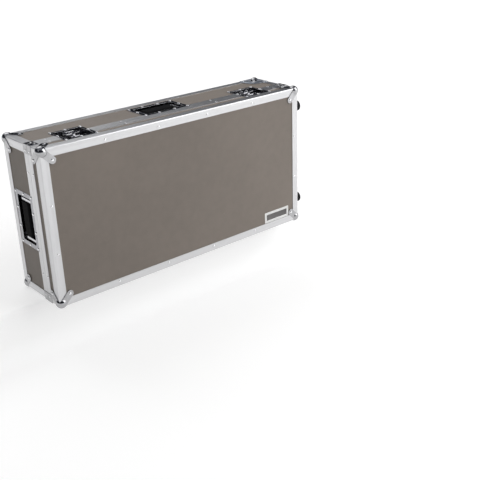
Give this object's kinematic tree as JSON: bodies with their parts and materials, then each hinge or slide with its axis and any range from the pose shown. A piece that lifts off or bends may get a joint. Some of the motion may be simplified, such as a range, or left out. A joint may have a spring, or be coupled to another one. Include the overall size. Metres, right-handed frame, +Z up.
{
  "type": "guitar pedal case",
  "caption": "Laminated road case for a guitar pedal board, with a hinged shallow lid, recessed butterfly latches, sprung recessed handles, ball corners and a foam nest.",
  "frame": {"origin": "bottom centre of the box round the standing case, on the plane its bottom ball corners touch", "axes": "+X along the length towards the end with feet, +Y from the lid's face to the back of the base, +Z up"},
  "size_m": [0.961, 0.2395, 0.472],
  "materials": {
    "laminate": "warm grey satin laminate on plywood",
    "aluminium_rail": "mill-finish extrusion",
    "zinc_steel": "zinc-plated pressed steel",
    "dish_steel": "zinc-plated pressed steel dish",
    "bright_steel": "bright plated steel",
    "rivet_steel": "plated steel",
    "spring_steel": "spring steel",
    "grip_rubber": "matte black moulded rubber",
    "rubber_foot": "matte black rubber",
    "foam": "charcoal closed-cell foam"
  },
  "bodies": {
    "base": {"base_back_edges": "aluminium_rail", "base_back_panel": "laminate", "base_ball_bottom_left": "zinc_steel", "base_ball_bottom_right": "zinc_steel", "base_ball_top_left": "zinc_steel", "base_ball_top_right": "zinc_steel", "base_bottom_panel": "laminate", "base_braces": "zinc_steel", "base_corner_edges": "aluminium_rail", "base_feet": "rubber_foot", "base_floor_foam": "foam", "base_groove_bottom": "aluminium_rail", "base_groove_sides": "aluminium_rail", "base_groove_top": "aluminium_rail", "base_left_panel": "laminate", "base_right_panel": "laminate", "base_rivets": "rivet_steel", "base_side_foam": "foam", "base_top_panel": "laminate", "handle_end_dish": "dish_steel", "handle_end_springs": "spring_steel", "handle_top_dish": "dish_steel", "handle_top_springs": "spring_steel", "hinge_base_leaves": "zinc_steel", "hinge_pins": "rivet_steel", "latch_left_dish": "dish_steel", "latch_right_dish": "dish_steel"},
    "lid": {"hinge_lid_leaves": "zinc_steel", "latch_left_keeper": "dish_steel", "latch_right_keeper": "dish_steel", "lid_ball_bottom_left": "zinc_steel", "lid_ball_bottom_right": "zinc_steel", "lid_ball_top_left": "zinc_steel", "lid_ball_top_right": "zinc_steel", "lid_bottom_panel": "laminate", "lid_braces": "zinc_steel", "lid_corner_edges": "aluminium_rail", "lid_feet": "rubber_foot", "lid_foam": "foam", "lid_front_edges": "aluminium_rail", "lid_front_panel": "laminate", "lid_left_panel": "laminate", "lid_right_panel": "laminate", "lid_rivets": "rivet_steel", "lid_tongue_bottom": "aluminium_rail", "lid_tongue_sides": "aluminium_rail", "lid_tongue_top": "aluminium_rail", "lid_top_panel": "laminate"},
    "latch_left_rotor_body": {"latch_left_rotor": "bright_steel"},
    "latch_left_wing_body": {"latch_left_wing": "bright_steel"},
    "latch_left_hook_body": {"latch_left_hook": "bright_steel"},
    "latch_right_rotor_body": {"latch_right_rotor": "bright_steel"},
    "latch_right_wing_body": {"latch_right_wing": "bright_steel"},
    "latch_right_hook_body": {"latch_right_hook": "bright_steel"},
    "handle_top_bail_body": {"handle_top_bail": "bright_steel", "handle_top_grip": "grip_rubber"},
    "handle_end_bail_body": {"handle_end_bail": "bright_steel", "handle_end_grip": "grip_rubber"}
  },
  "joints": [
    {"name": "lid_hinge", "type": "hinge", "parent": "base", "child": "lid", "pos_m": [-0.0095, -0.04875, 0.0035], "axis": [1, 0, 0], "range_deg": [0, 100]},
    {"name": "latch_left_turn", "type": "hinge", "parent": "base", "child": "latch_left_rotor_body", "pos_m": [-0.3295, -0.02325, 0.4604], "axis": [0, 0, 1], "range_deg": [0, 180]},
    {"name": "latch_left_flip", "type": "hinge", "parent": "latch_left_rotor_body", "child": "latch_left_wing_body", "pos_m": [-0.3295, -0.01525, 0.4635], "axis": [-1, 0, 0], "range_deg": [0, 90]},
    {"name": "latch_left_draw", "type": "slide", "parent": "base", "child": "latch_left_hook_body", "axis": [0, -1, 0], "range_m": [0, 0.011]},
    {"name": "latch_right_turn", "type": "hinge", "parent": "base", "child": "latch_right_rotor_body", "pos_m": [0.3105, -0.02325, 0.4604], "axis": [0, 0, 1], "range_deg": [0, 180]},
    {"name": "latch_right_flip", "type": "hinge", "parent": "latch_right_rotor_body", "child": "latch_right_wing_body", "pos_m": [0.3105, -0.01525, 0.4635], "axis": [-1, 0, 0], "range_deg": [0, 90]},
    {"name": "latch_right_draw", "type": "slide", "parent": "base", "child": "latch_right_hook_body", "axis": [0, -1, 0], "range_m": [0, 0.011]},
    {"name": "handle_top_lift", "type": "hinge", "parent": "base", "child": "handle_top_bail_body", "pos_m": [-0.0095, -0.01875, 0.4565], "axis": [1, 0, 0], "range_deg": [0, 90], "stiffness_Nm_per_rad": 0.2, "springref_deg": -20.05},
    {"name": "handle_end_lift", "type": "hinge", "parent": "base", "child": "handle_end_bail_body", "pos_m": [-0.465, -0.01225, 0.236], "axis": [0, 0, 1], "range_deg": [0, 90], "stiffness_Nm_per_rad": 0.2, "springref_deg": -20.05}
  ],
  "couplings": [
    {"joint": "latch_left_draw", "follows": "latch_left_turn", "m_per_rad": 0.0035014},
    {"joint": "latch_right_draw", "follows": "latch_right_turn", "m_per_rad": 0.0035014}
  ]
}
